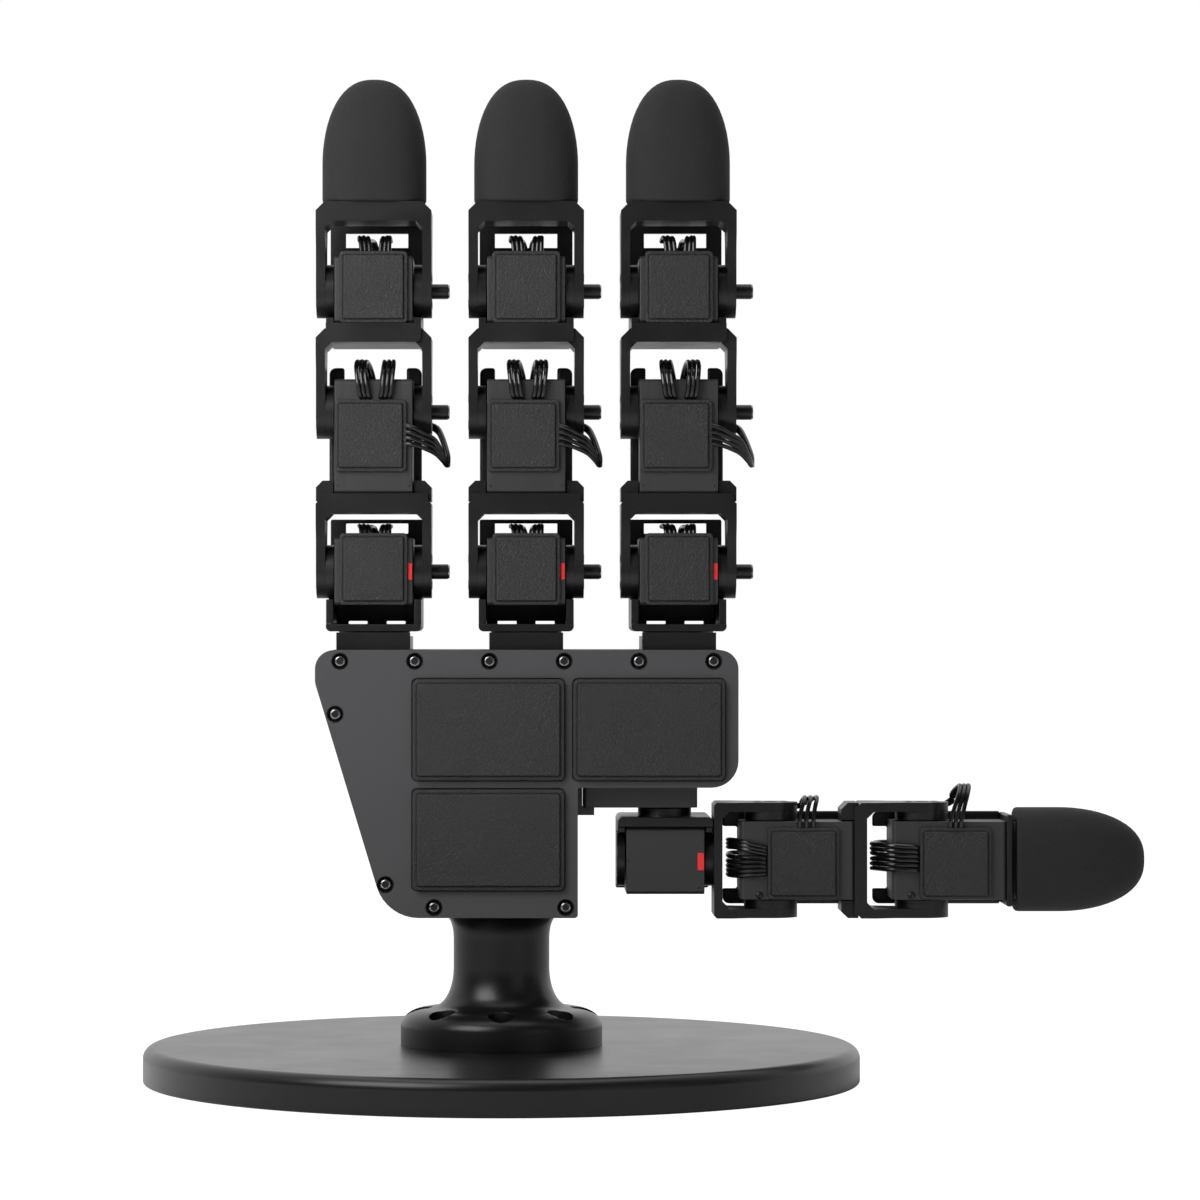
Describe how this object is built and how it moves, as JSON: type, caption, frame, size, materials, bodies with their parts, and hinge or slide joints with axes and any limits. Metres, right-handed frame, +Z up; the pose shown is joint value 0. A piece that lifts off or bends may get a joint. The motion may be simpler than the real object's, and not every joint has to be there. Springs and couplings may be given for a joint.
{
  "type": "dexterous robot hand",
  "caption": "Right robot hand with fingers and a thumb made of small servo links, standing palm forwards on a round base.",
  "frame": {"origin": "centre of the base disc's underside", "axes": "+Z up along the fingers, palm towards -Y, thumb towards +X"},
  "size_m": [0.2999, 0.2144, 0.3],
  "materials": {
    "stand_coat": "satin black powder coat",
    "palm_plate": "fine matte dark grey coat",
    "grip_skin": "black moulded skin with a leather-like grain",
    "servo_case": "fine-textured moulded dark grey",
    "black_metal": "satin black",
    "rubber": "matte black rubber",
    "lead_sheath": "glossy black insulation",
    "steel_screws": "bright steel"
  },
  "bodies": {
    "stand_and_palm": {"base_plate": "stand_coat", "stand_column": "stand_coat", "palm_shell": "palm_plate", "palm_cover": "palm_plate", "palm_pads": "grip_skin", "palm_drives": "servo_case", "fasteners": "steel_screws"},
    "ring_swivel_link": {"ring_cradle": "black_metal", "ring_knuckle_servo": "servo_case", "ring_knuckle_pad": "grip_skin", "ring_knuckle_leads": "lead_sheath"},
    "ring_knuckle_link": {"ring_knuckle_fork": "black_metal", "ring_bend_servo": "servo_case", "ring_bend_pad": "grip_skin", "ring_bend_leads": "lead_sheath"},
    "ring_middle_link": {"ring_middle_fork": "black_metal", "ring_tip_servo": "servo_case", "ring_tip_pad": "grip_skin", "ring_tip_leads": "lead_sheath"},
    "ring_tip_link": {"ring_tip_fork": "black_metal", "ring_fingertip": "rubber"},
    "middle_swivel_link": {"middle_cradle": "black_metal", "middle_knuckle_servo": "servo_case", "middle_knuckle_pad": "grip_skin", "middle_knuckle_leads": "lead_sheath"},
    "middle_knuckle_link": {"middle_knuckle_fork": "black_metal", "middle_bend_servo": "servo_case", "middle_bend_pad": "grip_skin", "middle_bend_leads": "lead_sheath"},
    "middle_middle_link": {"middle_middle_fork": "black_metal", "middle_tip_servo": "servo_case", "middle_tip_pad": "grip_skin", "middle_tip_leads": "lead_sheath"},
    "middle_tip_link": {"middle_tip_fork": "black_metal", "middle_fingertip": "rubber"},
    "index_swivel_link": {"index_cradle": "black_metal", "index_knuckle_servo": "servo_case", "index_knuckle_pad": "grip_skin", "index_knuckle_leads": "lead_sheath"},
    "index_knuckle_link": {"index_knuckle_fork": "black_metal", "index_bend_servo": "servo_case", "index_bend_pad": "grip_skin", "index_bend_leads": "lead_sheath"},
    "index_middle_link": {"index_middle_fork": "black_metal", "index_tip_servo": "servo_case", "index_tip_pad": "grip_skin", "index_tip_leads": "lead_sheath"},
    "index_tip_link": {"index_tip_fork": "black_metal", "index_fingertip": "rubber"},
    "thumb_yaw_link": {"thumb_cradle": "black_metal", "thumb_roll_servo": "servo_case"},
    "thumb_roll_link": {"thumb_roll_fork": "black_metal"},
    "thumb_bend_link": {"thumb_bend_servo": "servo_case", "thumb_bend_pad": "grip_skin", "thumb_bend_leads": "lead_sheath", "thumb_bend_fork": "black_metal"},
    "thumb_tip_link": {"thumb_tip_servo": "servo_case", "thumb_tip_pad": "grip_skin", "thumb_tip_leads": "lead_sheath", "thumb_fingertip": "rubber"}
  },
  "joints": [
    {"name": "ring_swivel", "type": "hinge", "parent": "stand_and_palm", "child": "ring_swivel_link", "pos_m": [-0.0381, 0, 0.1331], "axis": [0, 0, 1], "range_deg": [-15, 15]},
    {"name": "ring_knuckle", "type": "hinge", "parent": "ring_swivel_link", "child": "ring_knuckle_link", "pos_m": [-0.0381, 0, 0.1525], "axis": [1, 0, 0], "range_deg": [-10, 65]},
    {"name": "ring_bend", "type": "hinge", "parent": "ring_knuckle_link", "child": "ring_middle_link", "pos_m": [-0.0381, 0, 0.2003], "axis": [1, 0, 0], "range_deg": [-10, 75]},
    {"name": "ring_tip", "type": "hinge", "parent": "ring_middle_link", "child": "ring_tip_link", "pos_m": [-0.0381, 0, 0.2365], "axis": [1, 0, 0], "range_deg": [-10, 65]},
    {"name": "middle_swivel", "type": "hinge", "parent": "stand_and_palm", "child": "middle_swivel_link", "pos_m": [0.0074, 0, 0.1331], "axis": [0, 0, 1], "range_deg": [-15, 15]},
    {"name": "middle_knuckle", "type": "hinge", "parent": "middle_swivel_link", "child": "middle_knuckle_link", "pos_m": [0.0074, 0, 0.1525], "axis": [1, 0, 0], "range_deg": [-10, 65]},
    {"name": "middle_bend", "type": "hinge", "parent": "middle_knuckle_link", "child": "middle_middle_link", "pos_m": [0.0074, 0, 0.2003], "axis": [1, 0, 0], "range_deg": [-10, 75]},
    {"name": "middle_tip", "type": "hinge", "parent": "middle_middle_link", "child": "middle_tip_link", "pos_m": [0.0074, 0, 0.2365], "axis": [1, 0, 0], "range_deg": [-10, 65]},
    {"name": "index_swivel", "type": "hinge", "parent": "stand_and_palm", "child": "index_swivel_link", "pos_m": [0.0529, 0, 0.1331], "axis": [0, 0, 1], "range_deg": [-15, 15]},
    {"name": "index_knuckle", "type": "hinge", "parent": "index_swivel_link", "child": "index_knuckle_link", "pos_m": [0.0529, 0, 0.1525], "axis": [1, 0, 0], "range_deg": [-10, 65]},
    {"name": "index_bend", "type": "hinge", "parent": "index_knuckle_link", "child": "index_middle_link", "pos_m": [0.0529, 0, 0.2003], "axis": [1, 0, 0], "range_deg": [-10, 75]},
    {"name": "index_tip", "type": "hinge", "parent": "index_middle_link", "child": "index_tip_link", "pos_m": [0.0529, 0, 0.2365], "axis": [1, 0, 0], "range_deg": [-10, 65]},
    {"name": "thumb_yaw", "type": "hinge", "parent": "stand_and_palm", "child": "thumb_yaw_link", "pos_m": [0.0489, 0, 0.0821], "axis": [0, 0, -1], "range_deg": [-10, 60]},
    {"name": "thumb_roll", "type": "hinge", "parent": "thumb_yaw_link", "child": "thumb_roll_link", "pos_m": [0.0489, 0, 0.0663], "axis": [1, 0, 0], "range_deg": [-30, 30]},
    {"name": "thumb_bend", "type": "hinge", "parent": "thumb_roll_link", "child": "thumb_bend_link", "pos_m": [0.08068, 0, 0.0663], "axis": [0, 0, -1], "range_deg": [0, 45]},
    {"name": "thumb_tip", "type": "hinge", "parent": "thumb_bend_link", "child": "thumb_tip_link", "pos_m": [0.12598, 0, 0.0663], "axis": [0, 0, -1], "range_deg": [0, 60]}
  ]
}
